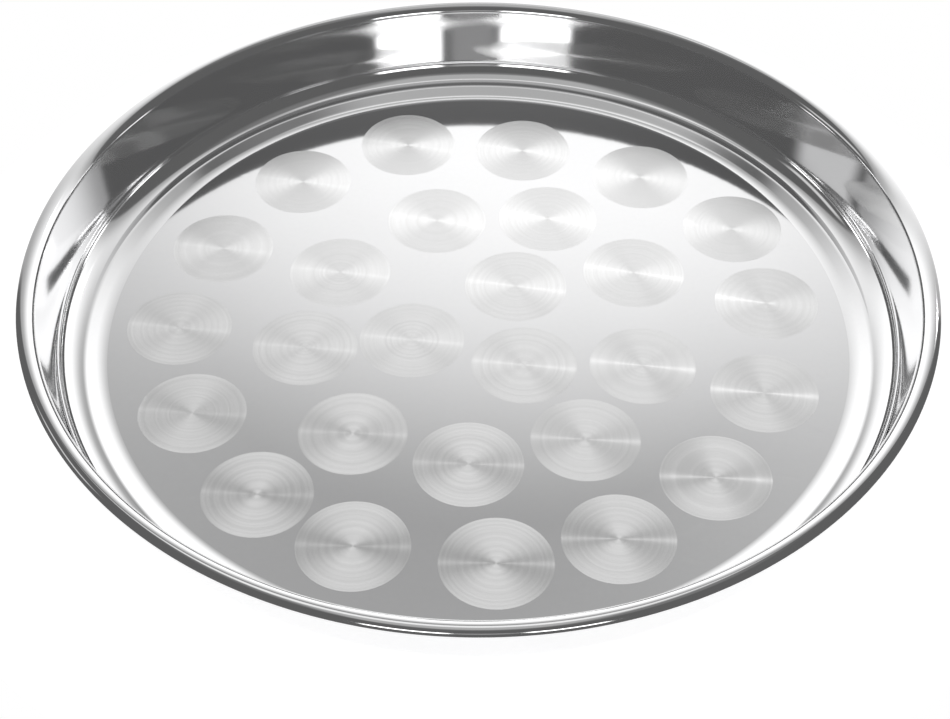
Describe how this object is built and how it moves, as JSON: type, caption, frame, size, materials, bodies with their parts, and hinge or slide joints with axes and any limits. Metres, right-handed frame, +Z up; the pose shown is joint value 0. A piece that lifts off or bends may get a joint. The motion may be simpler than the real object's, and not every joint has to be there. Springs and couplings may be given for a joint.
{
  "type": "serving tray",
  "caption": "Round stainless steel serving tray with a satin floor of turned spots, a polished flared wall and a wired, rolled rim.",
  "frame": {"origin": "centre of the underside, on the surface the tray stands on", "axes": "+Z up along the tray's axis, +Y away from the viewer in the picture, +X to the right"},
  "size_m": [0.4, 0.4, 0.044],
  "materials": {
    "tray_steel": "stainless steel sheet: satin floor with turned spots, polished step, wall and rim",
    "wire_steel": "plain drawn steel wire, hidden inside the rolled rim"
  },
  "bodies": {
    "root": {"tray_pan": "tray_steel", "rim_wire": "wire_steel"}
  },
  "joints": []
}
